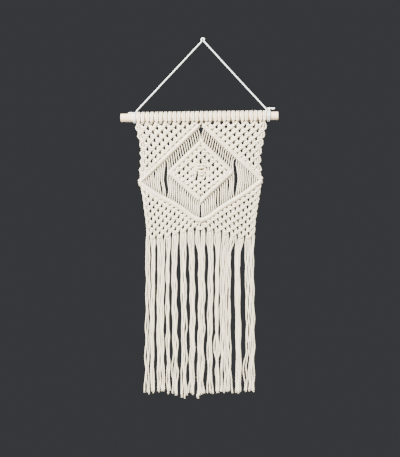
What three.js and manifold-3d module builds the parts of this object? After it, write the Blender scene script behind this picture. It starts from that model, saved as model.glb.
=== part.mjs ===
// Macrame wall hanging: a knotted cotton panel with a long fringe, on a wooden rod with a hanging cord.
// Millimetres. +X is to the right seen from the front, +Y is towards the wall and +Z is up.
// The origin is the underside of the hanging cord's bend, where it rests on its nail.
import * as THREE from "three";
import { mergeVertices } from "three/addons/utils/BufferGeometryUtils.js";
import Module from "manifold-3d";

const wasm = await Module();
wasm.setup();

// Driving dimensions
const gap = 0.3; // air between neighbouring pieces
const netCord = 4; // diameter of the cotton cord the panel is knotted from
const hangingCord = 3.2; // diameter of the thinner cord it hangs from
const rod = {
  radius: 9, left: -184, right: 168, midZ: -174.7, tilt: THREE.MathUtils.degToRad(0.8), sides: 32,
};
const heading = { left: -149, right: 143.4, heads: 29, sides: 20 };
const panel = {
  y: -3, topLeft: -153, topRight: 147, floatsThick: 4, knotsThick: 8, bandsThick: 11, bandWidth: 11,
};
const scallop = { depth: 2.2, pitch: 16.5, stepsPerPitch: 4 };
const fringe = {
  left: -129.7, right: 118.7, leftZ: -453.5, rightZ: -451.5, thick: 6, wave: 1.2, steps: 9,
  // The spine is the strip under the panel that holds the bunches, deepest where the panel is shortest
  spineHeight: 9, spineSlope: 0.5, spineLevel: -448, startZ: -432, bunchGap: 3, endHeight: 6,
};
const hitch = { turns: 2, width: 7 }; // the hanging cord's turns round the rod
const knot = { radius: 3, fromHeading: 4.8 };
const tail = { length: 10.5, droop: 0.8 };
const cotton = { roughness: 0.95, metalness: 0 };
const cream = new THREE.Color(0.87, 0.83, 0.74);
const white = new THREE.Color(0.86, 0.86, 0.85);
const paleWood = new THREE.Color(0.8, 0.68, 0.5);

const wrapRadius = (cord) => rod.radius + gap / 2 + cord; // outside of a cord wound round the rod
const rodZ = (x) => rod.midZ + x * Math.tan(rod.tilt);

// The panel's sides, from the rod down, as smooth curves through [x, z]
const curveThrough = (points) => new THREE.SplineCurve(points.map((p) => new THREE.Vector2(...p)));
const leftSide = curveThrough([[-153, -188.5], [-147, -215], [-140.5, -240], [-139.5, -272], [-144.5, -318],
  [-138.5, -345], [-133, -384], [-128.5, -420], [-127.5, -453]]);
const rightSide = curveThrough([[145, -184.5], [137, -222], [130.5, -255], [129, -283], [135, -314],
  [128, -355], [120, -405], [116.5, -451]]);
// The panel's lower edge, from left to right, where the knots end and the fringe begins
const lowerEdge = [[-100, -449], [-73, -442], [-45, -436], [-18, -428], [-3, -424.5], [15, -429], [47, -441],
  [75, -444], [95, -446.5]];

// Corners of the two diamonds of diagonal hitches: top, left, bottom, right
const outerDiamond = [[-4, -191], [-143, -322], [-3, -408], [137, -316]];
const innerDiamond = [[-5, -225], [-79, -298], [-3, -368], [67, -296]];
// The widest gaps between the loose cords, as [x, top z, bottom z, width]
const slots = [[-82.5, -279, -354, 6], [71, -266, -354, 6], [-4.3, -199, -223, 3.4], [-4.5, -371, -396, 3]];
const slotEnds = 0.12; // share of a slot's height over which it comes to a point

// The fringe's bunches, left to right: number of cords, middle and width half way down, heights of the ends
const bunches = [
  { cords: 4, x: -124, width: 11, ends: [-789, -792] },
  { cords: 3, x: -112, width: 8.4, ends: [-785, -786] },
  { cords: 6, x: -94, width: 16.4, ends: [-784, -787, -783] },
  { cords: 3, x: -78, width: 8, ends: [-788, -786] },
  { cords: 4, x: -62.8, width: 12, ends: [-789, -794] },
  { cords: 5, x: -43, width: 13.2, ends: [-790, -800, -796] },
  { cords: 4, x: -24.4, width: 12, ends: [-786, -792] },
  { cords: 5, x: -3.8, width: 15.2, ends: [-802.6, -795, -788] },
  { cords: 4, x: 16.4, width: 12, ends: [-788, -789] },
  { cords: 3, x: 32, width: 8.6, ends: [-787, -785.5] },
  { cords: 7, x: 51, width: 24.6, ends: [-784, -786, -783.5, -788] },
  { cords: 4, x: 78.6, width: 12.8, ends: [-787, -786.5] },
  { cords: 6, x: 105, width: 20.6, ends: [-785, -783.5, -786.5] },
];

// The hanging cord's route, from the left hitch over the nail to the right one
const nailBend = { radius: 3.2, steps: 6 };
const cordUp = [[-148.2, -161.4], [-115, -126], [-80, -88.5], [-45, -51.2], [-18, -22.3], [-7, -10.6],
  [-3.3, -6.4], [-2.4, -3.9]];
const cordDown = [[2.4, -3.9], [3.3, -6.4], [7, -10.6], [18, -22.6], [45, -52.2], [80, -90.2], [112, -124.8],
  [140.6, -155.4]];

// A closed three.js geometry as a solid, and back
function solidOf(geometry) {
  const bare = geometry.clone();
  for (const name of ["normal", "uv"]) bare.deleteAttribute(name);
  const merged = mergeVertices(bare, 1e-4);
  return new wasm.Manifold(new wasm.Mesh({
    numProp: 3,
    vertProperties: new Float32Array(merged.attributes.position.array),
    triVerts: new Uint32Array(merged.index.array),
  }));
}

function geometryOf(solid) {
  const mesh = solid.getMesh();
  const geometry = new THREE.BufferGeometry();
  geometry.setAttribute("position", new THREE.BufferAttribute(mesh.vertProperties, 3));
  geometry.setIndex(new THREE.BufferAttribute(mesh.triVerts, 1));
  return geometry;
}

// An upright outline in X and Z, as a slab of the given thickness about the panel's middle plane
function slab(points, thick) {
  const shape = new THREE.Shape(points.map(([x, z]) => new THREE.Vector2(x, z)));
  const geometry = new THREE.ExtrudeGeometry(shape, { depth: thick, bevelEnabled: false });
  geometry.rotateX(Math.PI / 2).translate(0, panel.y + thick / 2, 0);
  return solidOf(geometry);
}

// A diamond grown by a distance, or shrunk by a negative one
function grow(corners, by) {
  const [top, left, bottom, right] = corners;
  const middle = [(left[0] + right[0]) / 2, (top[1] + bottom[1]) / 2];
  const across = (right[0] - left[0]) / 2;
  const up = (top[1] - bottom[1]) / 2;
  const inradius = (across * up) / Math.hypot(across, up);
  const scale = 1 + by / inradius;
  return corners.map(([x, z]) => [middle[0] + (x - middle[0]) * scale, middle[1] + (z - middle[1]) * scale]);
}

// A side of the panel with its row of edge loops
function scalloped(curve, outward) {
  const steps = Math.round((curve.getLength() / scallop.pitch) * scallop.stepsPerPitch);
  return curve.getSpacedPoints(steps).map((p, i) => {
    const wave = Math.abs(Math.sin((Math.PI * i) / scallop.stepsPerPitch));
    return [p.x + outward * scallop.depth * (wave - 0.5), p.y];
  });
}

function panelOutline() {
  const left = scalloped(leftSide, -1);
  const right = scalloped(rightSide, 1);
  const under = (x) => rodZ(x) - wrapRadius(netCord) - gap;
  left[0] = [panel.topLeft, under(panel.topLeft)];
  right[0] = [panel.topRight, under(panel.topRight)];
  return [...left, ...lowerEdge, ...right.reverse()];
}

// A spindle-shaped gap between two cords
function slotShape([x, top, bottom, width]) {
  const points = [[x, top]];
  const straight = [slotEnds, 1 - slotEnds].map((t) => top + (bottom - top) * t);
  for (const z of straight) points.push([x - width / 2, z]);
  points.push([x, bottom]);
  for (const z of straight.reverse()) points.push([x + width / 2, z]);
  return points;
}

function makePanel() {
  const outline = panelOutline();
  const half = panel.bandWidth / 2;
  const deep = panel.bandsThick + 2;
  const band = (outside, inside) => slab(outside, panel.bandsThick).subtract(slab(inside, deep));
  const outerBand = band(grow(outerDiamond, half), grow(outerDiamond, -half));
  const innerBand = band(innerDiamond, grow(innerDiamond, -panel.bandWidth));
  const knots = slab(outline, panel.knotsThick).subtract(slab(outerDiamond, deep));
  const loose = slab(outline, panel.floatsThick);
  const middle = slab(grow(innerDiamond, -1), panel.knotsThick);
  let solid = loose.add(knots).add(middle).add(innerBand).add(outerBand.intersect(slab(outline, deep)));
  for (const slot of slots) solid = solid.subtract(slab(slotShape(slot), deep));
  return geometryOf(solid);
}

// One bunch of the fringe, as an upright strip from under the panel down to its uneven ends
function bunchShape(bunch, topX, topWidth, index) {
  const topZ = fringe.startZ; // above the panel's lower edge, which trims it
  const bottomZ = Math.max(...bunch.ends) + fringe.endHeight;
  const sides = [[], []];
  for (let i = 0; i <= fringe.steps; i++) {
    const t = i / fringe.steps;
    const ease = Math.min(1, t * 4);
    const x = topX + (bunch.x - topX) * ease + fringe.wave * ease * Math.sin(5.2 * t + 0.9 * index);
    const width = topWidth + (bunch.width - topWidth) * ease;
    const z = topZ + (bottomZ - topZ) * t;
    sides[0].push([x - width / 2, z]);
    sides[1].push([x + width / 2, z]);
  }
  const left = sides[0].at(-1)[0];
  const ends = bunch.ends.map((z, i) => [left + (bunch.width * (i + 0.5)) / bunch.ends.length, z]);
  return [...sides[0], ...ends, ...sides[1].reverse()];
}

function makeFringe() {
  const { left, right } = fringe;
  const edge = [[left, fringe.leftZ], ...lowerEdge, [right, fringe.rightZ]].map(([x, z]) => [x, z - gap]);
  const depth = (z) => fringe.spineHeight + (z - fringe.spineLevel) * fringe.spineSlope;
  const above = [...edge, [right * 1.1, fringe.startZ + 50], [left * 1.1, fringe.startZ + 50]];
  const total = bunches.reduce((sum, bunch) => sum + bunch.cords, 0);
  const pitch = (right - left) / total;
  let solid = slab([...edge, ...edge.map(([x, z]) => [x, z - depth(z)]).reverse()], fringe.thick);
  let before = 0;
  bunches.forEach((bunch, index) => {
    const topX = left + (before + bunch.cords / 2) * pitch;
    const topWidth = Math.min(bunch.cords * pitch - fringe.bunchGap, bunch.width);
    solid = solid.add(slab(bunchShape(bunch, topX, topWidth, index), fringe.thick));
    before += bunch.cords;
  });
  return geometryOf(solid.subtract(slab(above, fringe.thick + 2)));
}

// Cord wound round the rod, as a ring with one bump for each of its turns; x runs along the rod
function windings(left, right, turns, cord) {
  const width = (right - left) / turns;
  const outerRadius = wrapRadius(cord);
  const points = [new THREE.Vector2(rod.radius + gap, left)];
  for (let i = 0; i < turns; i++) {
    const at = left + i * width;
    points.push(new THREE.Vector2(outerRadius - 1, at));
    for (const t of [0.25, 0.75]) points.push(new THREE.Vector2(outerRadius, at + width * t));
  }
  points.push(new THREE.Vector2(outerRadius - 1, right), new THREE.Vector2(rod.radius + gap, right));
  points.push(points[0].clone());
  return new THREE.LatheGeometry(points, heading.sides).rotateZ(-Math.PI / 2);
}

// A round cord along points in space
function tube(points, diameter, steps, sides = 8) {
  const circle = new THREE.EllipseCurve(0, 0, diameter / 2, diameter / 2).getPoints(sides).slice(0, -1);
  const path = new THREE.CatmullRomCurve3(points.map((p) => new THREE.Vector3(...p)), false, "centripetal");
  const section = new THREE.Shape(circle);
  return new THREE.ExtrudeGeometry(section, { steps, bevelEnabled: false, extrudePath: path });
}

function hangingCordRoute() {
  const bend = [];
  for (let i = 0; i <= nailBend.steps; i++) {
    const angle = Math.PI * (1.08 - (1.16 * i) / nailBend.steps);
    const middle = hangingCord / 2 - nailBend.radius;
    bend.push([nailBend.radius * Math.cos(angle), middle + nailBend.radius * Math.sin(angle)]);
  }
  return [...cordUp, ...bend, ...cordDown].map(([x, z]) => [x, 0, z]);
}

const object = new THREE.Group();
const onRod = new THREE.Group(); // everything in it is placed along the tilted rod
onRod.position.set(0, 0, rod.midZ);
onRod.rotation.y = -rod.tilt;
object.add(onRod);

function add(group, name, geometry, color, finish = cotton) {
  const mesh = new THREE.Mesh(geometry, new THREE.MeshStandardMaterial({ color, ...finish }));
  mesh.name = name;
  group.add(mesh);
  return mesh;
}

const alongRod = 1 / Math.cos(rod.tilt);
const rodLength = (rod.right - rod.left) * alongRod;
const dowel = new THREE.CylinderGeometry(rod.radius, rod.radius, rodLength, rod.sides).rotateZ(Math.PI / 2);
add(onRod, "rod", dowel, paleWood, { roughness: 0.6, metalness: 0 })
  .position.set(((rod.left + rod.right) / 2) * alongRod, 0, 0);
add(onRod, "lark_head_row", windings(heading.left, heading.right, heading.heads, netCord), cream);
const leftEnd = heading.left - gap - hitch.width;
const rightStart = heading.right + gap;
add(onRod, "hitch_left", windings(leftEnd, leftEnd + hitch.width, hitch.turns, hangingCord), white);
add(onRod, "hitch_right", windings(rightStart, rightStart + hitch.width, hitch.turns, hangingCord), white);

const onTop = rod.radius + gap + hangingCord / 2; // height of a cord that lies along the top of the rod
const tailX = (t) => leftEnd - gap - tail.length * t;
const leftRoute = [[tailX(0), 0, onTop], [tailX(0.5), 0, onTop], [tailX(1), -tail.droop, onTop]];
add(onRod, "tail_left", tube(leftRoute, hangingCord - 0.1, 4), white);
const [kx, kz] = [heading.right + knot.fromHeading, wrapRadius(hangingCord) + gap + knot.radius];
add(onRod, "cord_knot", new THREE.SphereGeometry(knot.radius, 12, 8), white).position.set(kx, 0, kz);
const rightRoute = [[kx + knot.radius + gap, 0, kz + 1.2], [kx + 8, 0, kz + 1.5], [kx + 12.8, 0, kz + 1.5]];
add(onRod, "tail_right", tube(rightRoute, hangingCord, 5), white);

add(object, "knotted_panel", makePanel(), cream);
add(object, "fringe", makeFringe(), cream);
add(object, "hanging_cord", tube(hangingCordRoute(), hangingCord, 76), white);

export default object;
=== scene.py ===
# Macrame wall hanging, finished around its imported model. Lengths are in millimetres until a cord is swept.
import math
import random

import bpy
import numpy as np
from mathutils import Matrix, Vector


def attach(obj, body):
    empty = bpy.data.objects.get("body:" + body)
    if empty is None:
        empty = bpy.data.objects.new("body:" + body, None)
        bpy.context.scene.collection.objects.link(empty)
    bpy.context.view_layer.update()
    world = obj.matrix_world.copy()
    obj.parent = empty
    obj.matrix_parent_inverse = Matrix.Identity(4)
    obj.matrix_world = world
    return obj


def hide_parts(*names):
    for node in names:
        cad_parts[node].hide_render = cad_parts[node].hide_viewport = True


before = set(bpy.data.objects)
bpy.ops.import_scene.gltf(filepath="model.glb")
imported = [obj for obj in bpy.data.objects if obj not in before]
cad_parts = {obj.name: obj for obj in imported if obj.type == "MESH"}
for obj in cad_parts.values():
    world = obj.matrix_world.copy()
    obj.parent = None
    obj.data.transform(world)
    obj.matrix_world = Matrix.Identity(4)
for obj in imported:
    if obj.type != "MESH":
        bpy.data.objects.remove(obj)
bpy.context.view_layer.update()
millimetre = 0.001
chance = random.Random(29)
print("frame loaded:", len(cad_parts), "nodes")

# ---- camera ----
view = {"middleX": -6.5, "middleZ": -425, "height": 1024, "lens": 80, "sensor": 36}


def makeCamera():
    camera = bpy.data.cameras.new("camera")
    camera.lens = view["lens"]
    camera.sensor_width = view["sensor"]
    camera.clip_end = 20
    distance = view["height"] * view["lens"] / view["sensor"]
    holder = bpy.data.objects.new("camera", camera)
    holder.location = (view["middleX"] * millimetre, -distance * millimetre, view["middleZ"] * millimetre)
    holder.rotation_euler = (math.pi / 2, 0, 0)
    bpy.context.scene.collection.objects.link(holder)
    bpy.context.scene.camera = holder


makeCamera()


# ---- node helpers ----
class Wire:
    # a socket that maths can be written on
    def __init__(self, board, socket):
        self.board = board
        self.socket = socket

    def math(self, operation, first, *others):
        kind = self.board.mathKind
        return self.board.add(kind, {"operation": operation}, dict(enumerate([first, *others])))

    def __add__(self, other):
        return self.math("ADD", self, other)

    def __radd__(self, other):
        return self.math("ADD", other, self)

    def __sub__(self, other):
        return self.math("SUBTRACT", self, other)

    def __rsub__(self, other):
        return self.math("SUBTRACT", other, self)

    def __mul__(self, other):
        return self.math("MULTIPLY", self, other)

    def __pow__(self, other):
        return self.math("POWER", self, other)

    def __abs__(self):
        return self.math("ABSOLUTE", self)

    def sine(self):
        return self.math("SINE", self)

    def cosine(self):
        return self.math("COSINE", self)


class Board:
    # a node tree with one way to add a node: its settings first, then the values or links of its sockets
    mathKind = "ShaderNodeMath"

    def __init__(self, tree):
        self.tree = tree

    def add(self, kind, settings=None, values=None, out=0):
        node = self.tree.nodes.new(kind)
        for name, value in (settings or {}).items():
            if name == "stops":
                self.setStops(node.color_ramp, value)
            else:
                setattr(node, name, value)
        for key, value in (values or {}).items():
            if isinstance(value, Wire):
                self.tree.links.new(value.socket, node.inputs[key])
            else:
                node.inputs[key].default_value = value
        return Wire(self, node.outputs[out]) if node.outputs else None

    def setStops(self, ramp, stops):
        for spare in list(ramp.elements)[1:]:
            ramp.elements.remove(spare)
        ramp.elements[0].position, ramp.elements[0].color = stops[0]
        for position, color in stops[1:]:
            ramp.elements.new(position).color = color

    def output(self, wire, name):
        return Wire(self, wire.socket.node.outputs[name])

    def mix(self, amount, first, second, blend="MIX"):
        settings = {"data_type": "RGBA", "blend_type": blend}
        return self.add("ShaderNodeMix", settings, {0: amount, 6: first, 7: second}, out=2)

    def noise(self, where, scale, detail=2.0):
        return self.add("ShaderNodeTexNoise", None, {"Vector": where, "Scale": scale, "Detail": detail})


def newMaterial(name):
    material = bpy.data.materials.new(name)
    material.use_nodes = True
    material.node_tree.nodes.clear()
    return material, Board(material.node_tree)


# ---- cotton ----
cotton = {
    # the two groove colours are painted shade: a darker colour painted into the grooves between the plies
    "cream": (0.83, 0.735, 0.52, 1), "creamGrooveShade": (0.22, 0.155, 0.085, 1),
    "white": (0.82, 0.82, 0.80, 1), "whiteGrooveShade": (0.52, 0.51, 0.48, 1),
    "ropePitch": 0.014, "plies": 3, "lobeShare": 0.75, "paintedShadeSoftness": 0.55,
    "fibreScale": 1600.0, "fibreShare": 0.4, "reliefStrength": 0.75, "reliefDepth": 0.0009,
    "tintSpread": 0.16, "patchScale": 35.0, "patchSpread": 0.12,
    "roughness": 0.93, "sheen": 0.35, "sheenRoughness": 0.6, "specular": 0.2,
}


def makeCotton(name, crest, paintedGrooveShade, turnsPerMetre):
    material, board = newMaterial(name)
    along = board.add("ShaderNodeAttribute", {"attribute_name": "along"}, out=2)
    tint = board.add("ShaderNodeAttribute", {"attribute_name": "tint"}, out=2)
    around = board.add("ShaderNodeAttribute", {"attribute_name": "around"}, out=1)
    parts = board.add("ShaderNodeSeparateXYZ", None, {0: around})
    angle = parts.math("ARCTAN2", board.output(parts, "Y"), parts)
    phase = angle - along * (2 * math.pi * turnsPerMetre)
    lobe = abs((phase * (cotton["plies"] / 2)).sine())
    where = board.add("ShaderNodeTexCoord", out=3)
    fibre = board.noise(where, cotton["fibreScale"], 3.0)
    patches = board.noise(where, cotton["patchScale"])
    height = lobe * cotton["lobeShare"] + fibre * cotton["fibreShare"]
    normal = board.add("ShaderNodeBump", None, {
        "Strength": cotton["reliefStrength"], "Distance": cotton["reliefDepth"], "Height": height})
    # painted shade: the colour runs towards the groove colour where the ply lobes dip, darkening the grooves between
    # the plies
    plain = board.mix(lobe ** cotton["paintedShadeSoftness"], paintedGrooveShade, crest)
    shade = 1 + (tint - 0.5) * cotton["tintSpread"] + (patches - 0.5) * cotton["patchSpread"]
    shadeColor = board.add("ShaderNodeCombineColor", None, {0: shade, 1: shade, 2: shade})
    color = board.mix(1.0, plain, shadeColor, "MULTIPLY")
    shader = board.add("ShaderNodeBsdfPrincipled", None, {
        "Base Color": color, "Roughness": cotton["roughness"], "Normal": normal,
        "Sheen Weight": cotton["sheen"], "Sheen Roughness": cotton["sheenRoughness"],
        "Specular IOR Level": cotton["specular"]})
    board.add("ShaderNodeOutputMaterial", None, {0: shader})
    return material


creamCotton = makeCotton("creamCotton", cotton["cream"], cotton["creamGrooveShade"], 1 / cotton["ropePitch"])
whiteCotton = makeCotton("whiteCotton", cotton["white"], cotton["whiteGrooveShade"], 0)
print("cotton materials made")


# ---- sweeping cords ----
def makeSweepTree():
    tree = bpy.data.node_groups.new("sweepCord", "GeometryNodeTree")
    sockets = [("Geometry", "Geometry"), ("Diameter", "Float"), ("Sides", "Int"), ("Lobe Depth", "Float"),
               ("Turns per Metre", "Float"), ("Seed", "Int"), ("Finish", "Material")]
    for name, kind in sockets:
        tree.interface.new_socket(name, in_out="INPUT", socket_type="NodeSocket" + kind)
    tree.interface.new_socket("Geometry", in_out="OUTPUT", socket_type="NodeSocketGeometry")
    board = Board(tree)
    given = board.add("NodeGroupInput")
    plain = {name: board.output(given, name) for name, kind in sockets}

    length = board.add("GeometryNodeSplineParameter", out=1)
    number = board.add("GeometryNodeCurveOfPoint")
    tint = board.add("FunctionNodeRandomValue", {"data_type": "FLOAT"},
                     {"ID": number, "Seed": plain["Seed"]}, out=1)
    line = board.add("GeometryNodeStoreNamedAttribute", {"data_type": "FLOAT", "domain": "POINT"},
                     {"Geometry": plain["Geometry"], "Name": "along", "Value": length})
    line = board.add("GeometryNodeStoreNamedAttribute", {"data_type": "FLOAT", "domain": "POINT"},
                     {"Geometry": line, "Name": "tint", "Value": tint})
    turn = length * plain["Turns per Metre"] * (2 * math.pi)
    line = board.add("GeometryNodeSetCurveTilt", None, {"Curve": line, "Tilt": turn})

    circle = board.add("GeometryNodeCurvePrimitiveCircle", None,
                       {"Resolution": plain["Sides"], "Radius": plain["Diameter"] * 0.5})
    angle = board.add("GeometryNodeSplineParameter") * (2 * math.pi)
    around = board.add("ShaderNodeCombineXYZ", None, {0: angle.cosine(), 1: angle.sine()})
    lobes = 1 - plain["Lobe Depth"] * (1 - abs((angle * (cotton["plies"] / 2)).sine()))
    place = board.add("GeometryNodeInputPosition")
    lobed = board.add("ShaderNodeVectorMath", {"operation": "SCALE"}, {0: place, 3: lobes})
    ring = board.add("GeometryNodeSetPosition", None, {"Geometry": circle, "Position": lobed})
    ring = board.add("GeometryNodeStoreNamedAttribute", {"data_type": "FLOAT_VECTOR", "domain": "POINT"},
                     {"Geometry": ring, "Name": "around", "Value": around})

    girth = board.add("GeometryNodeInputRadius")
    tube = board.add("GeometryNodeCurveToMesh", None,
                     {"Curve": line, "Profile Curve": ring, "Scale": girth, "Fill Caps": True})
    tube = board.add("GeometryNodeSetShadeSmooth", None, {0: tube})
    tube = board.add("GeometryNodeRealizeInstances", None, {0: tube})
    tube = board.add("GeometryNodeSetMaterial", None, {"Geometry": tube, "Material": plain["Finish"]})
    board.add("NodeGroupOutput", None, {0: tube})
    return tree


sweepTree = makeSweepTree()


def inputsOf(tree):
    return {item.name: item.identifier for item in tree.interface.items_tree if item.in_out == "INPUT"}


def sweep(name, runs, material, diameter, sides=8, lobeDepth=0.0, turns=0.0):
    # runs are lists of rows x, y, z, girth in millimetres; one closed tube is made along each
    lines = bpy.data.curves.new(name + "_lines", "CURVE")
    lines.dimensions = "3D"
    for run in runs:
        rows = np.asarray(run, float)
        spline = lines.splines.new("POLY")
        spline.points.add(len(rows) - 1)
        places = np.hstack([rows[:, :3] * millimetre, np.ones((len(rows), 1))])
        spline.points.foreach_set("co", places.ravel())
        spline.points.foreach_set("radius", rows[:, 3].copy())
    holder = bpy.data.objects.new(name + "_lines", lines)
    bpy.context.scene.collection.objects.link(holder)
    modifier = holder.modifiers.new("sweep", "NODES")
    modifier.node_group = sweepTree
    values = {"Diameter": diameter * millimetre, "Sides": sides, "Lobe Depth": lobeDepth,
              "Turns per Metre": turns, "Seed": len(runs), "Finish": material}
    identifiers = inputsOf(sweepTree)
    for key, value in values.items():
        modifier[identifiers[key]] = value
    holder.update_tag()
    bpy.context.view_layer.update()
    evaluated = holder.evaluated_get(bpy.context.evaluated_depsgraph_get())
    mesh = bpy.data.meshes.new_from_object(evaluated)
    mesh.name = name
    piece = bpy.data.objects.new(name, mesh)
    bpy.context.scene.collection.objects.link(piece)
    bpy.data.objects.remove(holder)
    print(name, "has", len(mesh.polygons), "faces")
    return piece


def smoothPath(points, step):
    # rows of numbers, the first three a place, as a centripetal Catmull-Rom curve, and the control row behind each
    leastGap = 1e-4
    given = np.asarray(points, float)
    rows = np.vstack([2 * given[0] - given[1], given, 2 * given[-1] - given[-2]])
    gaps = np.sqrt(np.maximum(np.linalg.norm(np.diff(rows[:, :3], axis=0), axis=1), leastGap))
    times = np.concatenate([[0], np.cumsum(gaps)])
    smooth, owners = [given[:1]], [0]
    for i in range(1, len(rows) - 2):
        a, b, c, d = rows[i - 1:i + 3]
        ta, tb, tc, td = times[i - 1:i + 3]
        count = max(1, round(float(np.linalg.norm(c[:3] - b[:3])) / step))
        t = np.linspace(tb, tc, count + 1)[1:, None]
        ab = a + (b - a) * (t - ta) / (tb - ta)
        bc = b + (c - b) * (t - tb) / (tc - tb)
        cd = c + (d - c) * (t - tc) / (td - tc)
        abc = ab + (bc - ab) * (t - ta) / (tc - ta)
        bcd = bc + (cd - bc) * (t - tb) / (td - tb)
        smooth.append(abc + (bcd - abc) * (t - tb) / (tc - tb))
        owners.extend([i] * count)
    return np.vstack(smooth), owners


# ---- rod ----
rod = {"midZ": -174.7, "tilt": 0.8}


def rodZ(x):
    return rod["midZ"] + x * math.tan(math.radians(rod["tilt"]))


# ---- hanging cord, with its hitches, knot and tails ----
hanger = {
    "diameter": 3.2, "bendRadius": 3.2, "bendSteps": 6,
    "step": 1.0, "sides": 12, "lobeDepth": 0.14, "turns": 75,
    "up": [(-148.2, -161.4), (-115, -126), (-80, -88.5), (-45, -51.2), (-18, -22.3), (-7, -10.6), (-3.3, -6.4),
           (-2.4, -3.9)],
    "down": [(2.4, -3.9), (3.3, -6.4), (7, -10.6), (18, -22.6), (45, -52.2), (80, -90.2), (112, -124.8),
             (140.6, -155.4)],
}
hitches = {
    "wrap": 10.75, "turns": 2, "stepsPerTurn": 10,
    # the way from the hanging cord's end to the rod, then where its turns start and end
    "left": ([(-147.9, 0, -161.2), (-148.7, 0, -163.3)], -149.4, -156),
    "right": ([(140.3, 0, -155.1), (142.3, 0, -158.2)], 143.3, 149.9),
}
knotted = {"x": 148.2, "rise": 15.697, "size": 0.92, "girth": 0.92, "steps": 24}
# rows of places from the last turn's top at the left and the knot's middle at the right, and girths
tails = {
    "leftX": -158,
    "left": [(0.4, 0, 0.2, 1), (-2.8, -0.3, 0, 1), (-6.5, -0.6, -0.2, 1.05), (-9.2, -0.8, -0.4, 1.25)],
    "right": [(2, 0, 0.9, 1), (5.5, -0.3, 1.3, 1.15), (8.5, -0.8, 0.3, 1.35), (12.4, -0.5, 1.6, 1.3)],
}


def hangerRoute():
    bend = []
    for i in range(hanger["bendSteps"] + 1):
        angle = math.pi * (1.08 - 1.16 * i / hanger["bendSteps"])
        middle = hanger["diameter"] / 2 - hanger["bendRadius"]
        bend.append((hanger["bendRadius"] * math.cos(angle), middle + hanger["bendRadius"] * math.sin(angle)))
    return [(x, 0, z, 1) for x, z in hanger["up"] + bend + hanger["down"]]


def sweepHanger(name, route):
    path, owners = smoothPath(route, hanger["step"])
    piece = sweep(name, [path], whiteCotton, hanger["diameter"], hanger["sides"], hanger["lobeDepth"],
                  hanger["turns"])
    return piece, path


def windRoute(arrival, start, end):
    # the hanging cord arrives from above and is wound round the rod, starting and ending over it
    rows = [(x, y, z, 1) for x, y, z in arrival]
    steps = hitches["turns"] * hitches["stepsPerTurn"]
    for i in range(steps + 1):
        x = start + (end - start) * i / steps
        angle = math.pi / 2 + 2 * math.pi * i / hitches["stepsPerTurn"]
        rows.append((x, -hitches["wrap"] * math.cos(angle), rodZ(x) + hitches["wrap"] * math.sin(angle), 1))
    return rows


def tailRoute(start, rows):
    return [(start[0] + x, start[1] + y, start[2] + z, girth) for x, y, z, girth in rows]


def overhandRoute(middle):
    # a trefoil, whose three crossings are an overhand knot's
    size = knotted["size"]
    rows = []
    for i in range(knotted["steps"] + 1):
        t = 2 * math.pi * i / knotted["steps"]
        rows.append((middle[0] + size * (math.sin(t) + 2 * math.sin(2 * t)), middle[1] + size * math.sin(3 * t),
                     middle[2] + size * (math.cos(t) - 2 * math.cos(2 * t)), knotted["girth"]))
    return rows


lastTurnTop = (tails["leftX"], 0, rodZ(tails["leftX"]) + hitches["wrap"])
knotMiddle = (knotted["x"], 0, rodZ(knotted["x"]) + knotted["rise"])
hangingCord, hangingPath = sweepHanger("hanging_cord_rope", hangerRoute())
hitchLeft, _ = sweepHanger("hitch_left_rope", windRoute(*hitches["left"]))
hitchRight, _ = sweepHanger("hitch_right_rope", windRoute(*hitches["right"]))
tailLeft, _ = sweepHanger("tail_left_rope", tailRoute(lastTurnTop, tails["left"]))
tailRight, _ = sweepHanger("tail_right_rope", tailRoute(knotMiddle, tails["right"]))
cordKnot, _ = sweepHanger("cord_knot_rope", overhandRoute(knotMiddle))
print("hanging cord made")

# ---- knotted cords ----
cordCount = 58
cordSize = 4.2
midY = -3  # the panel's middle plane
cords = [[] for _ in range(cordCount)]  # each cord's rows x, y, z, girth, piece, from the rod down


def lay(cord, piece, points, girth=1.0):
    cords[cord].extend((*point, girth, piece) for point in points)


panel = {
    "left": [(-153, -188.5), (-147, -215), (-140.5, -240), (-139.5, -272), (-144.5, -318), (-138.5, -345),
             (-133, -384), (-128.5, -420), (-127.5, -453)],
    "right": [(145, -184.5), (137, -222), (130.5, -255), (129, -283), (135, -314), (128, -355), (120, -405),
              (116.5, -451)],
    "flatWidth": 0.30, "flatHeight": 0.265, "flatArea": 0.0716,
    "middleX": [-5.6, -4.3], "middleZ": [-440, -190], "crowding": 0.2, "inset": 0.4,
    # gaps between the loose cords: cords to the left of it, top, bottom and width
    "gaps": [(13, -279, -354, 5.5), (45, -266, -354, 6), (29, -190, -227, 1.6), (29, -371, -396, 2.6),
             (11, -315, -350, 2.4), (8, -287, -312, 2), (37, -330, -377, 1.8), (38, -330, -377, 1.8),
             (42, -316, -343, 2.4)],
}


def sideX(side, z):
    points = panel[side][::-1]
    return float(np.interp(z, [p[1] for p in points], [p[0] for p in points]))


def boundaryX(b, z):
    # b counts the cords to the left of this place
    middle = float(np.interp(z, panel["middleZ"], panel["middleX"]))
    half = cordCount / 2
    if b <= half:
        edge = sideX("left", z) + panel["inset"]
        t = b / half
    else:
        edge = sideX("right", z) - panel["inset"]
        t = (cordCount - b) / half
    return edge + (middle - edge) * (t - panel["crowding"] * t * (1 - t) ** 3)


def slotX(slot, z):
    return boundaryX(slot + 0.5, z)


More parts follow.
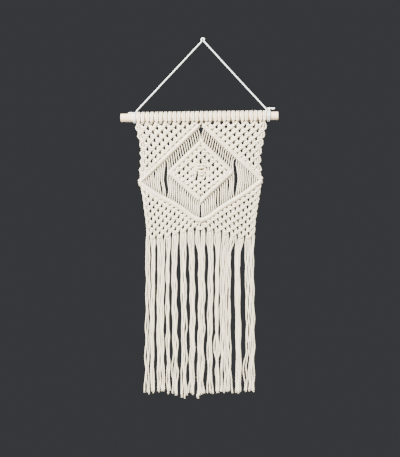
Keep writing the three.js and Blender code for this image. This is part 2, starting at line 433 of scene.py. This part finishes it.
# ---- heading: one lark's head for every two cords ----
heading = {
    "left": -149, "right": 143.4, "heads": 29, "legs": 1.95, "girth": 0.9, "innerLean": 0.5, "step": 1.5,
    # the bar's height, its jitter, its front, its bulge in the middle and half its width
    "barZ": -9.4, "barJitter": 0.4, "barY": -10.3, "barBulge": 0.5, "barReach": 1.3,
    # a leg from under the rod, behind and over it to the bar in front: how far it leans to its pair, y and z
    "leg": [(3, -1.6, -14), (1.9, 0.2, -11.3), (0.6, 4.6, -10.4), (0, 9.2, -6.4), (0, 10.9, 0), (0, 7.7, 7.7),
            (0, 0, 10.8), (0, -7.7, 7.7), (0.4, -10.9, 0.5), (1, -10.8, -4.5)],
}


def headingX(cord):
    pitch = (heading["right"] - heading["left"]) / heading["heads"]
    return heading["left"] + (cord // 2 + 0.5) * pitch + (heading["legs"] if cord % 2 else -heading["legs"])


def larksHeads():
    runs = []
    for head in range(heading["heads"]):
        # heads stand in pairs, one pair over each knot of the first row
        lean = 0 if head == heading["heads"] // 2 else -1 if head % 2 else 1
        lean = -lean if head > heading["heads"] // 2 else lean
        legs = []
        for cord in (2 * head, 2 * head + 1):
            x = headingX(cord)
            inner = heading["innerLean"] if (lean > 0) == (cord % 2 > 0) else 1
            legs.append([(x + lean * inner * aside, y, rodZ(x) + z) for aside, y, z in heading["leg"]])
            lay(cord, "upper", [legs[-1][0]])
        middle = (legs[0][-1][0] + legs[1][-1][0]) / 2
        barZ = rodZ(middle) + heading["barZ"] + chance.uniform(-1, 1) * heading["barJitter"]
        barY, reach = heading["barY"], heading["barReach"]
        bar = [(middle - reach, barY, barZ), (middle, barY - heading["barBulge"], barZ), (middle + reach, barY, barZ)]
        rows = legs[0] + bar + legs[1][::-1]
        runs.append(smoothPath([(*row, heading["girth"]) for row in rows], heading["step"])[0])
    return runs


headRuns = larksHeads()
print("heading made")

# ---- square knots ----
knot = {
    "fullness": 0.82, "filler": 0.42, "fillerReach": 0.34, "jitter": 0.25, "tilt": 3,
    # one working cord's way round the fillers: aside, up and to the front
    "front": [(-1.15, 0.37, 0.25), (-0.5, 0.27, 0.85), (0.5, 0.22, 0.9), (1.08, 0.13, 0.45), (1.22, 0, 0.05)],
    "back": [(1.38, 0.34, 0.5), (0.95, 0.17, -0.25), (0.45, 0.14, -0.85), (-0.45, 0.12, -0.85),
             (-1.08, 0.09, -0.2), (-1.42, 0.035, 0.45)],
}


def thereAndBack(turns):
    # the lower half of a knot mirrors its upper half
    lower = [(u, -v, f) for u, v, f in reversed(turns) if v > 0]
    return turns + lower


def squareKnot(piece, group, x, z, height, unit, depth=1.0):
    # the group's first cord crosses in front of the fillers and comes back, the last behind them; unit is their size
    fillers = group[1:-1]
    girth = unit / cordSize
    x += chance.uniform(-1, 1) * knot["jitter"]
    z += chance.uniform(-1, 1) * knot["jitter"]
    y = midY + chance.uniform(-1, 1) * knot["jitter"]
    lean = math.radians(chance.uniform(-1, 1) * knot["tilt"])
    extra = (len(fillers) - 2) * knot["filler"]

    def place(u, v, f):
        u = (u + math.copysign(extra, u) * min(1, abs(u) * 2)) * unit
        v = v * height
        return (x + u * math.cos(lean) - v * math.sin(lean), y - f * unit * depth,
                z + u * math.sin(lean) + v * math.cos(lean))

    for cord, turns in ((group[0], "front"), (group[-1], "back")):
        lay(cord, piece, [place(*row) for row in thereAndBack(knot[turns])], girth)
    for order, cord in enumerate(fillers):
        u = (order - (len(fillers) - 1) / 2) * 2 * knot["filler"]
        lay(cord, piece, [place(u, v, 0) for v in (knot["fillerReach"], -knot["fillerReach"])], girth)


def knotSize(b, z):
    # knots are drawn tighter where the cords are crowded
    return min(cordSize, (boundaryX(b + 2, z) - boundaryX(b - 2, z)) / 4 * knot["fullness"])


# ---- rows of double hitches ----
hitch = {
    "reach": 3.85, "jitter": 0.25,
    # along the leader, across it, to the front, and girth
    "turns": [(0, 1.5, -0.3, 0.55), (-0.15, 0.1, -1, 0.8), (-0.27, -0.95, -0.2, 0.86), (-0.28, -0.1, 1, 0.88),
              (-0.22, 0.95, 0.1, 0.86), (0, 0, -1.05, 0.8), (0.2, -0.95, -0.1, 0.86), (0.24, -0.1, 1, 0.88),
              (0.28, 0.95, 0.1, 0.86), (0.15, -0.1, -1, 0.75), (0, -1.6, -0.4, 0.55)],
}
# the lone hitch where two rows meet: its ends, middle and width along the row, its height, and its leader's place
meeting = {"endsX": 2.6, "middleX": 1, "width": 6.4, "height": 0.9, "leaderX": -1, "leaderZ": 0.5}


def crossing(line, b):
    # where a row of hitches, a dense line of x, z, passes boundary b, and its direction there
    misses = [abs(x - boundaryX(b, z)) for x, z in line]
    i = min(max(int(np.argmin(misses)), 1), len(line) - 2)
    along = line[i + 1] - line[i - 1]
    return line[i], along / np.linalg.norm(along)


def denseLine(points):
    rows = [(x, 0, z) for x, z in points]
    return smoothPath(rows, 0.25)[0][:, [0, 2]]


def windHitch(cord, above, below, placeOf):
    # the stretches that come and go belong to the pieces above and below, so that the cuts are hidden behind
    last = len(hitch["turns"]) - 1
    for i, (e, n, f, girth) in enumerate(hitch["turns"]):
        piece = above if i == 0 else below if i == last else "bands"
        lay(cord, piece, [placeOf(e, n * hitch["reach"], f * hitch["reach"])], girth)


def hitchRow(above, below, line, leader, hitched, bounds):
    # each of the hitched cords is wound twice round the leader where the line passes its boundary
    spots = [crossing(line, b) for b in bounds]
    for i, cord in enumerate(hitched):
        (x, z), (alongX, alongZ) = spots[i]
        before = spots[max(i - 1, 0)][0]
        after = spots[min(i + 1, len(spots) - 1)][0]
        width = float(np.linalg.norm(after - before)) / (min(i + 1, len(spots) - 1) - max(i - 1, 0))
        upX, upZ = (-alongZ, alongX) if alongX > 0 else (alongZ, -alongX)
        y = midY + chance.uniform(-1, 1) * hitch["jitter"]

        def placeOf(e, n, f):
            aside = 0 if abs(n) > hitch["reach"] else upX  # the ends run straight down, not across the row
            return (x + alongX * e * width + aside * n, y - f, z + alongZ * e * width + upZ * n)

        windHitch(cord, above, below, placeOf)
        lay(leader, "bands", [(x, midY, z)])


def cornerHitch(above, below, leader, hitched, x, z):
    # where two rows of hitches meet, one leader is hitched round the other
    def placeOf(e, n, f):
        aside = meeting["endsX"] if abs(n) > hitch["reach"] else meeting["middleX"] + meeting["width"] * e
        return (x + aside, midY - f, z + n * meeting["height"])

    windHitch(hitched, above, below, placeOf)
    lay(leader, "bands", [(x + meeting["leaderX"], midY, z + meeting["leaderZ"])])


# ---- loose cords between the rows of hitches ----
loose = {
    "step": 12, "wobble": 0.3, "stagger": 0.4, "uneven": 0.05, "clear": 7, "slotZ": -300,
    "upperGirth": 0.5, "sideGirth": 0.66, "lowerGirth": 0.7, "upperLean": 1.6, "sideLean": 0.6,
    "bow": 0.6, "straightSlots": 5, "gapFade": 2.2,
}


def gapPush(slot, z):
    # the cords beside a gap are pushed apart, those further off less
    push = 0
    for b, top, bottom, width in panel["gaps"]:
        t = (top - z) / (top - bottom)
        if 0 < t < 1:
            side = 1 if slot >= b else -1
            fade = math.exp(-(abs(slot + 0.5 - b) - 0.5) / loose["gapFade"])
            push += side * width / 2 * math.sin(math.pi * t) ** 0.5 * fade
    return push


def floatDown(cord, slot, top, bottom, girth, lean):
    # the loose stretch of a cord in its slot, between two heights, leaning towards the middle as it comes down
    count = max(2, round((top - bottom) / loose["step"]))
    inwards = 1 if slot < cordCount / 2 else -1
    offMiddle = min(1, abs(slot - (cordCount - 1) / 2) / loose["straightSlots"])
    rows = []
    for i in range(1, count):
        t = i / count
        z = top + (bottom - top) * t
        x = slotX(slot, z) + gapPush(slot, z) + chance.uniform(-1, 1) * loose["wobble"]
        x += inwards * lean * offMiddle * (t * t - loose["bow"] * math.sin(math.pi * t))
        rows.append((x, midY + (loose["stagger"] if slot % 2 else -loose["stagger"]), z))
    lay(cord, "loose", rows, girth + chance.uniform(-1, 1) * loose["uneven"])


# ---- the pattern, from the rod down; each half is worked the same way, mirrored ----
pattern = {
    "topRowZ": -190.2, "topTilt": 0.018, "topPitch": 8.2, "edgePitch": 1.15, "rows": 13, "knotShare": 0.94,
    "firstRise": 0.8, "firstShare": 0.8, "firstTightness": 0.82, "edgeBulges": ((0, 1.2), (1, -0.8)),
    # the hitches next to the middle spread a little: how far, and over how many cords
    "spread": 0.4, "spreadCords": 2,
    "upperLeft": [(-5.5, -190.5), (-140.2, -319.5)], "upperRight": [(-3, -190.5), (129.8, -313.5)],
    "lowerLeft": [(-139.8, -325), (-97.4, -352.8), (-66.3, -368.9), (-42.3, -384.4), (-19.5, -400.5),
                  (-5.2, -407)],
    "lowerRight": [(129.6, -319.5), (90, -349), (58, -368), (34, -384), (11.5, -400.5), (-4.2, -407)],
    "innerTopLeft": [(-5.5, -233), (-73.5, -299)], "innerTopRight": [(-3.5, -233), (63.5, -297)],
    "innerLowLeft": [(-73, -301), (-5, -361)], "innerLowRight": [(63, -299), (-3, -361)],
    "innerTop": (-4.6, -229.8), "innerBottom": (-4.2, -363), "outerBottom": (-4.7, -407),
    # where the leaders turn at the diamonds' side corners: how far outside the row's end and below it
    "innerTurn": (3, 1), "outerTurn": (2.8, 2.5),
    "innerZ": -246.8, "innerPitch": 9.07, "innerLowPitch": 7.1, "innerRows": 13,
    "lowRowB": [0, 4, 8, 12, 16, 20, 24, 29],
    "lowRowZ": [-438, -436.6, -434.8, -431.2, -426, -422.5, -418.2, -416.2], "lowPitch": 8.3,
    "lastZ": -424.5, "lastHeight": 8, "lastSize": 3.6,
}
sides = ("Left", "Right")


def cordOf(side, cord):
    return cord if side == "Left" else cordCount - 1 - cord


def boundOf(side, b):
    return b if side == "Left" else cordCount - b


def knotOf(side, piece, first, z, height, tightness=1.0):
    # a square knot on four neighbouring cords, the first of them counted from that side
    group = sorted(cordOf(side, first + i) for i in range(4))
    b = boundOf(side, first + 2)
    squareKnot(piece, group, boundaryX(b, z), z, height, knotSize(b, z) * tightness)


def upperRows(side):
    for row in range(pattern["rows"]):
        odd = row % 2
        for first in range(2 * odd, 25 - 2 * row, 4):
            pitch = pattern["topPitch"] + pattern["edgePitch"] * (1 - 2 * (first + 2) / cordCount)
            x = boundaryX(boundOf(side, first + 2), pattern["topRowZ"])
            z = pattern["topRowZ"] + pattern["topTilt"] * x - row * pitch
            if row == 0:
                knotOf(side, "upper", first, z + pattern["firstRise"], pitch * pattern["firstShare"],
                       pattern["firstTightness"])
            else:
                knotOf(side, "upper", first, z, pitch * pattern["knotShare"])
        if odd:
            z = pattern["topRowZ"] - row * (pattern["topPitch"] + pattern["edgePitch"])
            for cord, bulge in pattern["edgeBulges"]:
                out = -bulge if side == "Left" else bulge
                x = boundaryX(boundOf(side, cord + 0.5), z) + out
                lay(cordOf(side, cord), "upper", [(x, midY, z)])


def heightOn(line, x):
    order = np.argsort(line[:, 0])
    return float(np.interp(x, line[order, 0], line[order, 1]))


def floatsDown(side, slots, topLine, bottomLine, girth, lean):
    # between the diamonds' rows the cords sit one slot further in than they began
    for slot in slots:
        real = cordOf(side, slot)
        middle = slotX(real, loose["slotZ"])
        floatDown(cordOf(side, slot - 1), real, heightOn(topLine, middle) - loose["clear"],
                  heightOn(bottomLine, middle) + loose["clear"], girth, lean)


def turnLeader(side, cord, line, turn):
    # a leader leaves its row's end at a side corner and comes back as the leader of the row below
    outwards = -1 if side == "Left" else 1
    lay(cordOf(side, cord), "bands", [(line[-1][0] + outwards * turn[0], midY, line[-1][1] - turn[1])])


lines = {name: denseLine(pattern[name]) for name in pattern if name.endswith(sides)}
for side in sides:
    upperRows(side)
for side in sides:
    spread = {b: pattern["spread"] * math.exp((b - 28) / pattern["spreadCords"]) for b in range(1, 29)}
    hitchRow("upper", "loose", lines["upper" + side], cordOf(side, 28),
             [cordOf(side, c) for c in range(27, -1, -1)],
             [boundOf(side, b - spread[b]) for b in range(28, 0, -1)])
for side in sides:
    floatsDown(side, range(1, 14), lines["upper" + side], lines["lower" + side], loose["sideGirth"],
               loose["sideLean"])
    floatsDown(side, range(14, 29), lines["upper" + side], lines["innerTop" + side], loose["upperGirth"],
               loose["upperLean"])
cornerHitch("loose", "bands", 27, 30, *pattern["innerTop"])
for side in sides:
    hitchRow("loose", "inner", lines["innerTop" + side], cordOf(side, 27),
             [cordOf(side, c) for c in range(26, 12, -1)], [boundOf(side, b) for b in range(28, 14, -1)])


def innerCord(slot):
    # the cords of the inner diamond sit two slots nearer the middle than they began
    return slot - 2 if slot < 29 else slot + 2


# the puffed knot in the middle of the inner diamond: a wide one over a narrow one, in place of the knots skipped
gathered = {
    "place": (6, 27), "skipped": {(4, 27), (5, 25), (5, 29), (6, 27), (7, 25), (7, 29)},
    # first slot, last slot, x, z, height, cord size, depth
    "knots": [(26, 31, -5, -286, 13, 4.4, 1.35), (27, 30, -2.4, -301, 12, 4.8, 1.35)],
}


def gatheredKnots():
    for start, end, x, z, height, size, depth in gathered["knots"]:
        squareKnot("inner", [innerCord(slot) for slot in range(start, end + 1)], x, z, height, size, depth)


def innerRows():
    widest = pattern["innerRows"] // 2
    for row in range(pattern["innerRows"]):
        count = widest + 1 - abs(row - widest)
        z = pattern["innerZ"] - pattern["innerPitch"] * min(row, widest)
        z -= pattern["innerLowPitch"] * max(0, row - widest)
        pitch = pattern["innerPitch"] if row <= widest else pattern["innerLowPitch"]
        for k in range(count):
            first = 29 - 2 * count + 4 * k
            if (row, first) == gathered["place"]:
                gatheredKnots()
            if (row, first) not in gathered["skipped"]:
                squareKnot("inner", [innerCord(first + i) for i in range(4)], boundaryX(first + 2, z), z,
                           pitch * pattern["knotShare"], knotSize(first + 2, z))


innerRows()
for side in sides:
    turnLeader(side, 27, lines["innerTop" + side], pattern["innerTurn"])
    hitchRow("inner", "loose", lines["innerLow" + side], cordOf(side, 27),
             [cordOf(side, c) for c in range(13, 27)], [boundOf(side, b) for b in range(15, 29)])
cornerHitch("bands", "loose", 27, 30, *pattern["innerBottom"])
for side in sides:
    floatsDown(side, range(14, 29), lines["innerLow" + side], lines["lower" + side], loose["lowerGirth"], 0)
    turnLeader(side, 28, lines["upper" + side], pattern["outerTurn"])
    hitchRow("loose", "lower", lines["lower" + side], cordOf(side, 28), [cordOf(side, c) for c in range(28)],
             [boundOf(side, b) for b in range(1, 29)])
cornerHitch("bands", "lower", 28, 29, *pattern["outerBottom"])


def lowerRows():
    # row 0 is the last one, and the rows above it are counted down from it
    for row in range(-13, 1):
        for side in sides:
            for first in range(0 if row % 2 else 2, 2 * min(row, -1) + 27, 4):
                if row == 0 and first > 22:
                    continue
                z = float(np.interp(first + 2, pattern["lowRowB"], pattern["lowRowZ"]))
                z -= pattern["lowPitch"] * (row + 1)
                knotOf(side, "lower", first, z, pattern["lowPitch"] * pattern["knotShare"])
    z = pattern["lastZ"]
    squareKnot("lower", [26, 27, 28, 29, 30, 31], boundaryX(29, z), z, pattern["lastHeight"], pattern["lastSize"])


lowerRows()
print("pattern worked")

# ---- fringe ----
fringe = {
    "wave": 1.2, "waveTurns": 5.2, "waveShift": 0.9, "start": -456, "topZ": -450, "step": 12, "flare": 0.25,
    "levels": (2.8, -2.0, 0.6, -3.0, 1.9, -0.7), "levelStride": 5, "unevenEnds": 3, "strandWidth": 3.2,
    # least and most of each cord's own sway, ripple and depth, its girth and its turns
    "sways": [(0.5, 1.6), (0.2, 0.5), (0.3, 1.0)], "girth": (0.64, 0.76), "turns": (3.6, 5.4), "ripples": 10,
    "endGirth": 0.16, "endSteps": 0.7,
    # cords, middle, width and the heights of the ends of each bunch
    "bunches": [
        (3, -124, 11, (-789, -792)), (3, -112, 8.4, (-785, -786)), (5, -94, 16.4, (-784, -787, -783)),
        (3, -78, 8, (-788, -786)), (4, -62.8, 12, (-789, -794)), (4, -43, 13.2, (-790, -800, -796)),
        (4, -24.4, 12, (-786, -792)), (6, -3.8, 15.2, (-802.6, -795, -788)), (4, 16.4, 12, (-788, -789)),
        (4, 32, 8.6, (-787, -785.5)), (7, 51, 24.6, (-784, -786, -783.5, -788)),
        (5, 78.6, 12.8, (-787, -786.5)), (6, 105, 20.6, (-785, -783.5, -786.5))],
    # cords that bow aside: cord, top, bottom and how far
    "bows": [(52, -690, -790, -6), (53, -705, -790, -3.5), (36, -640, -740, 9), (38, -650, -735, -8),
             (2, -560, -700, 2.5), (20, -600, -760, -2.5), (45, -520, -660, 2.5), (29, -640, -790, 3),
             (14, -700, -790, -3), (41, -700, -788, -3)],
}


def bowed(cord, z):
    aside = 0
    for number, top, bottom, far in fringe["bows"]:
        if number == cord and bottom < z < top:
            aside += far * math.sin(math.pi * (top - z) / (top - bottom)) ** 2
    return aside


def hangFringe():
    tufts = []
    cord = 0
    for index, (count, middle, width, ends) in enumerate(fringe["bunches"]):
        for k in range(count):
            share = (k + 0.5) / count
            across = (width - fringe["strandWidth"]) * (share - 0.5) * count / (count - 0.8)
            endZ = float(np.interp(share, np.linspace(0, 1, len(ends)), ends))
            endZ += chance.uniform(-1, 1) * fringe["unevenEnds"]
            level = fringe["levels"][(cord * fringe["levelStride"] + k) % len(fringe["levels"])]
            startX = slotX(cord, fringe["topZ"])
            phases = [chance.uniform(0, 2 * math.pi) for _ in range(5)]  # the last two are spare
            waves = [chance.uniform(least, most) for least, most in fringe["sways"]]
            girth = chance.uniform(*fringe["girth"])
            steps = round((fringe["start"] - endZ) / fringe["step"])
            turns = chance.uniform(*fringe["turns"])
            for i in range(steps + 1):
                t = i / steps
                z = fringe["start"] + (endZ - fringe["start"]) * t
                ease = min(1.0, 0.3 + t * 9)
                ease = ease * ease * (3 - 2 * ease)
                targetX = middle + across * (1 + fringe["flare"] * max(0, 8 * t - 7) ** 2)
                bunchSway = math.sin(fringe["waveTurns"] * t + fringe["waveShift"] * index)
                x = startX + (targetX - startX) * ease + fringe["wave"] * ease * bunchSway
                x += waves[0] * math.sin(2 * math.pi * turns * t + phases[0]) * min(0.6 + 0.7 * t, 0.3 + 3 * t)
                x += waves[1] * math.sin(2 * math.pi * fringe["ripples"] * t + phases[1]) + bowed(cord, z)
                y = midY + level * min(1, 0.25 + 4 * t)
                y += waves[2] * math.sin(2 * math.pi * (turns - 1) * t + phases[2]) * min(1, 0.3 + 3 * t)
                nearEnd = max(0, 1 - (1 - t) * steps / fringe["endSteps"])
                lay(cord, "fringe", [(x, y, z)], girth + fringe["endGirth"] * nearEnd)
            tufts.extend(fray(x, y, z, girth))
            cord += 1
    return tufts


frayed = {"threads": 11, "turn": 2.4, "unevenTurn": 0.4, "spread": (1.1, 1.7), "drop": (2.5, 5.5), "inside": 2.5}


def fray(x, y, z, girth):
    # a cut end's loose threads, set out in a spiral
    threads = []
    for i in range(frayed["threads"]):
        angle = frayed["turn"] * i + chance.uniform(-1, 1) * frayed["unevenTurn"]
        reach = math.sqrt((i + 0.5) / frayed["threads"]) * cordSize / 2 * girth
        u, v = math.cos(angle) * reach, math.sin(angle) * reach
        spread, drop = chance.uniform(*frayed["spread"]), chance.uniform(*frayed["drop"])
        threads.append([(x + u * 0.8, y + v * 0.8, z + frayed["inside"], 1), (x + u, y + v, z - drop * 0.35, 1),
                        (x + u * (1 + spread) / 2, y + v * (1 + spread) / 2, z - drop * 0.7, 0.9),
                        (x + u * spread, y + v * spread, z - drop, 0.6)])
    return threads


tuftRuns = hangFringe()
print("fringe hung")


# ---- cutting the cords into pieces and sweeping them ----
cutting = {"step": 1.9, "coarse": ("fringe", "loose"), "sides": 10, "threadSize": 1.1, "threadSides": 5}


def cutCords():
    runs = {}
    lengths = {}
    for rows in cords:
        places = [row[:4] for row in rows]
        path, owners = smoothPath(places, cutting["step"])
        labels = [rows[owner][4] for owner in owners]
        start = 0
        for i in range(1, len(path) + 1):
            if i == len(path) or labels[i] != labels[start]:
                run = path[max(start - 1, 0):i]
                if len(run) > 2:
                    label = labels[start]
                    keep = 2 if label in cutting["coarse"] else 1
                    thin = np.vstack([run[:-1:keep], run[-1:]])
                    runs.setdefault(label, []).append(thin)
                    length = np.linalg.norm(np.diff(run[:, :3], axis=0), axis=1).sum()
                    lengths[label] = lengths.get(label, 0) + length
                start = i
    print("cord lengths in millimetres:", {label: round(value) for label, value in lengths.items()})
    return runs


runs = cutCords()
pieceNames = {"upper": "upper_knots", "bands": "hitch_rows", "loose": "loose_cords", "inner": "inner_knots",
              "lower": "lower_knots", "fringe": "fringe_cords"}
heads = sweep("lark_heads", headRuns, creamCotton, cordSize, cutting["sides"])
pieces = {label: sweep(name, runs[label], creamCotton, cordSize, cutting["sides"])
          for label, name in pieceNames.items()}
pieces["frayed"] = sweep("frayed_ends", tuftRuns, creamCotton, cutting["threadSize"], cutting["threadSides"])

# ---- wood ----
wood = {
    "light": (0.78, 0.62, 0.39, 1), "dark": (0.6, 0.43, 0.25, 1), "stretch": (0.04, 1, 1),
    "fineGrain": 840.0, "broadGrain": 180.0, "relief": 0.3, "reliefDepth": 0.0004, "roughness": 0.55,
}


def makeWood():
    material, board = newMaterial("paleWood")
    where = board.add("ShaderNodeTexCoord", out=3)
    stretched = board.add("ShaderNodeMapping", None, {"Vector": where, "Scale": wood["stretch"]})
    grain = board.noise(stretched, wood["fineGrain"], 5.0)
    broad = board.noise(stretched, wood["broadGrain"], 2.0)
    figure = grain * 0.6 + broad * 0.4
    ramp = board.add("ShaderNodeValToRGB", {"stops": [(0.35, wood["dark"]), (0.62, wood["light"])]}, {0: figure})
    normal = board.add("ShaderNodeBump", None, {
        "Strength": wood["relief"], "Distance": wood["reliefDepth"], "Height": grain})
    shader = board.add("ShaderNodeBsdfPrincipled", None, {
        "Base Color": ramp, "Roughness": wood["roughness"] + grain * 0.2, "Normal": normal})
    board.add("ShaderNodeOutputMaterial", None, {0: shader})
    return material


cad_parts["rod"].data.materials.clear()
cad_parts["rod"].data.materials.append(makeWood())
print("rod finished")

# ---- each piece put on the root body; its slot name is only listed ----
slots = {hangingCord: "hanging_cotton", hitchLeft: "hanging_cotton", hitchRight: "hanging_cotton",
         tailLeft: "hanging_cotton", cordKnot: "hanging_cotton", tailRight: "hanging_cotton", heads: "cotton"}
slots.update({piece: "cotton" for piece in pieces.values()})
for piece, slotName in slots.items():
    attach(piece, "root")
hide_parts("hanging_cord")
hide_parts("hitch_left")
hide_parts("hitch_right")
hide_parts("tail_left")
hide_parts("tail_right")
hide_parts("cord_knot")
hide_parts("lark_head_row")
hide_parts("knotted_panel")
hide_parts("fringe")

hangingLine = [[float(v) * millimetre for v in row[:3]] for row in hangingPath]
hangingLength = float(np.linalg.norm(np.diff(hangingPath[:, :3], axis=0), axis=1).sum()) * millimetre

# ---- floor and light ----
studio = {
    "floorZ": -1.3, "floorSize": 2.4, "floorColor": (0.7, 0.69, 0.67, 1), "floorRoughness": 0.8,
    "world": (0.045, 0.046, 0.05, 1),
    # name, place, what it points at, size and power
    "lights": [("keyLight", (-1.0, -1.7, 0.9), (0, 0, -0.42), 0.3, 400),
               ("fillLight", (1.2, -2.2, -0.5), (0, 0, -0.45), 1.2, 28),
               ("backLight", (0.6, 1.8, 0.6), (0, 0, -0.4), 1.2, 20)],
}


def makeStudio():
    mesh = bpy.data.meshes.new("floor")
    half = studio["floorSize"] / 2
    z = studio["floorZ"]
    mesh.from_pydata([(-half, -half, z), (half, -half, z), (half, half, z), (-half, half, z)], [], [(0, 1, 2, 3)])
    floor = bpy.data.objects.new("floor", mesh)
    bpy.context.scene.collection.objects.link(floor)
    material, board = newMaterial("paleFloor")
    shader = board.add("ShaderNodeBsdfPrincipled", None, {
        "Base Color": studio["floorColor"], "Roughness": studio["floorRoughness"]})
    board.add("ShaderNodeOutputMaterial", None, {0: shader})
    mesh.materials.append(material)
    world = bpy.data.worlds.new("world")
    world.use_nodes = True
    world.node_tree.nodes["Background"].inputs[0].default_value = studio["world"]
    bpy.context.scene.world = world


def makeLight(name, place, target, size, power):
    light = bpy.data.lights.new(name, "AREA")
    light.shape = "DISK"
    light.size = size
    light.energy = power
    holder = bpy.data.objects.new(name, light)
    holder.location = place
    towards = np.array(target) - np.array(place)
    bpy.context.scene.collection.objects.link(holder)
    holder.rotation_euler = Vector(towards).to_track_quat("-Z", "Y").to_euler()


makeStudio()
for light in studio["lights"]:
    makeLight(*light)
print("lights placed")
